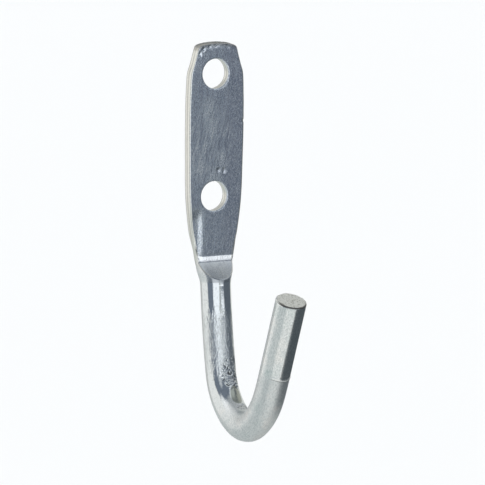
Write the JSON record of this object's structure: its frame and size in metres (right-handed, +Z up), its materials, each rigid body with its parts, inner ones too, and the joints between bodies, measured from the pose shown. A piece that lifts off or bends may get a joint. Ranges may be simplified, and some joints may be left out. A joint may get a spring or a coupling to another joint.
{
  "type": "utility hook",
  "caption": "J-shaped wall hook forged from one round steel bar, with a flat screw-on plate above an open upturned arm.",
  "frame": {"origin": "centre of the two-hole pattern, on the back of the plate", "axes": "+Z up along the plate; +Y out of the back of the plate, into the wall; the hook reaches out along -Y and the bar is centred on X = 0"},
  "size_m": [0.0196, 0.0543, 0.1211],
  "materials": {
    "zinc_plated_steel": "bright zinc plating"
  },
  "bodies": {
    "root": {"hook": "zinc_plated_steel"}
  },
  "joints": []
}
